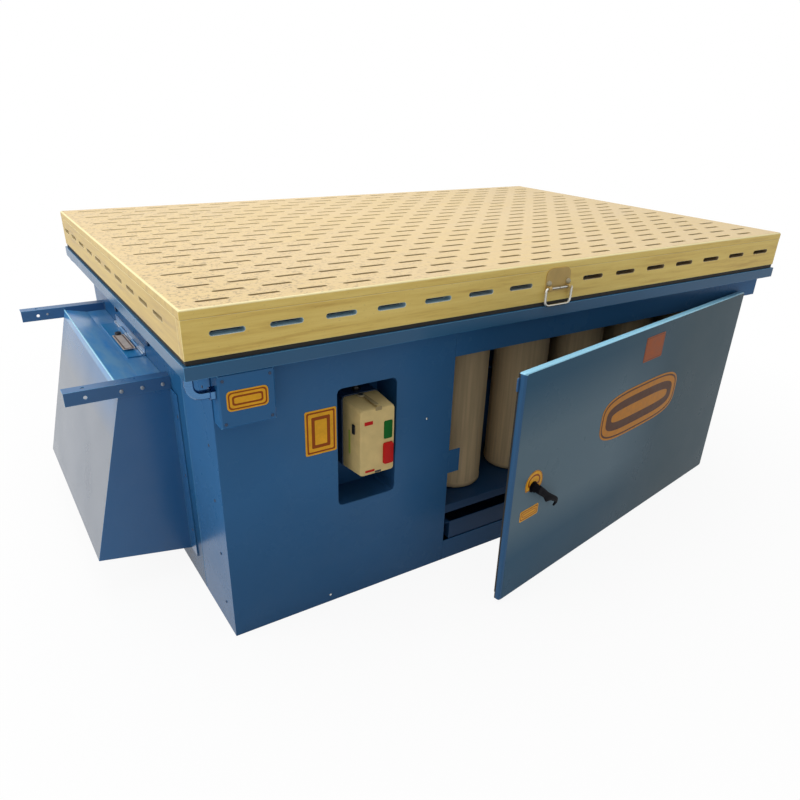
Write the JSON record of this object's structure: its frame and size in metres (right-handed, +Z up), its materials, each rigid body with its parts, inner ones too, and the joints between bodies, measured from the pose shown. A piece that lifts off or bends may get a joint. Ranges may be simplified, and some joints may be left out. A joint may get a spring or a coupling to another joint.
{
  "type": "downdraft table",
  "caption": "Workshop downdraft table: slotted wooden work top over a blue sheet-steel cabinet with filters, fan, exhaust hood and hinged door.",
  "frame": {"origin": "middle of the cabinet's underside, on the floor", "axes": "+X along the table to the right, +Y to the back, +Z up"},
  "size_m": [2.049, 1.4404, 0.813],
  "materials": {
    "blue_paint": "semi-gloss enamel",
    "arm_paint": "semi-gloss enamel",
    "inner_paint": "satin enamel",
    "wood": "clear lacquered",
    "foam": "matt closed-cell foam",
    "filter_media": "matt pleated felt",
    "starter_grey": "moulded, fine texture",
    "black_plastic": "satin",
    "green_plastic": "gloss",
    "red_plastic": "gloss",
    "bright_steel": "zinc plated",
    "dull_steel": "bare sheet",
    "motor_grey": "satin enamel"
  },
  "bodies": {
    "cabinet": {"base_pan": "inner_paint", "front_left_panel": "blue_paint", "front_frame": "blue_paint", "latch_keeper": "blue_paint", "rear_panel": "blue_paint", "left_end_panel": "blue_paint", "right_end_panel": "blue_paint", "divider_panel": "inner_paint", "tube_sheet": "inner_paint", "duct_wall": "inner_paint", "plenum_deck": "blue_paint", "top_rim": "blue_paint", "rim_gasket": "foam", "filter_cartridge_1": "filter_media", "filter_cartridge_2": "filter_media", "filter_cartridge_3": "filter_media", "filter_cartridge_4": "filter_media", "filter_cartridge_5": "filter_media", "filter_shelf": "inner_paint", "dust_tray": "blue_paint", "tray_rail_left": "inner_paint", "tray_rail_right": "inner_paint", "starter_recess": "blue_paint", "starter_base": "starter_grey", "starter_cover": "starter_grey", "starter_gland": "black_plastic", "junction_box": "blue_paint", "conduit_elbow": "bright_steel", "exhaust_hood": "blue_paint", "front_arm": "arm_paint", "rear_arm": "arm_paint", "lid_hinge": "bright_steel", "fan_scroll": "inner_paint", "fan_motor": "motor_grey", "motor_stand": "inner_paint", "door_hinge_frame_leaf": "bright_steel", "left_top_hinge_rim_leaf": "bright_steel", "right_top_hinge_rim_leaf": "bright_steel"},
    "top": {"top_board": "wood", "front_apron": "wood", "back_apron": "wood", "left_apron": "wood", "right_apron": "wood", "left_top_hinge_top_leaf": "bright_steel", "right_top_hinge_top_leaf": "bright_steel", "handle_plate": "bright_steel"},
    "bail": {"handle_bail": "bright_steel"},
    "door": {"door_skin": "blue_paint", "door_seal": "foam", "door_hinge_door_leaf": "bright_steel", "latch_plate": "black_plastic"},
    "latch": {"latch_lever": "black_plastic", "latch_cam": "bright_steel"},
    "start": {"start_button": "green_plastic"},
    "stop": {"stop_button": "red_plastic"},
    "lid": {"hood_lid": "blue_paint", "lid_knob": "black_plastic"},
    "fan": {"impeller": "dull_steel", "motor_shaft": "bright_steel"}
  },
  "joints": [
    {"name": "top_lift", "type": "hinge", "parent": "cabinet", "child": "top", "pos_m": [0, 0.6118, 0.7113], "axis": [-1, 0, 0], "range_deg": [0, 75]},
    {"name": "bail_swing", "type": "hinge", "parent": "top", "child": "bail", "pos_m": [-0.003, -0.615, 0.75], "axis": [-1, 0, 0], "range_deg": [0, 90]},
    {"name": "door_swing", "type": "hinge", "parent": "cabinet", "child": "door", "pos_m": [0.8495, -0.5735, 0.322], "axis": [0, 0, 1], "range_deg": [-10.8, 94.2]},
    {"name": "latch_turn", "type": "hinge", "parent": "door", "child": "latch", "pos_m": [-0.18131, -0.77014, 0.321], "axis": [0.1874, -0.9823, 0], "range_deg": [-53.6, 36.4]},
    {"name": "start_push", "type": "slide", "parent": "cabinet", "child": "start", "axis": [0, 1, 0], "range_m": [0, 0.004], "stiffness_N_per_m": 600},
    {"name": "stop_push", "type": "slide", "parent": "cabinet", "child": "stop", "axis": [0, 1, 0], "range_m": [0, 0.004], "stiffness_N_per_m": 600},
    {"name": "lid_lift", "type": "hinge", "parent": "cabinet", "child": "lid", "pos_m": [-0.8835, 0.1185, 0.5445], "axis": [0, 1, 0], "range_deg": [0, 60]},
    {"name": "fan_spin", "type": "hinge", "parent": "cabinet", "child": "fan", "pos_m": [-0.6, 0.0885, 0.3], "axis": [0, 1, 0], "continuous": true}
  ]
}
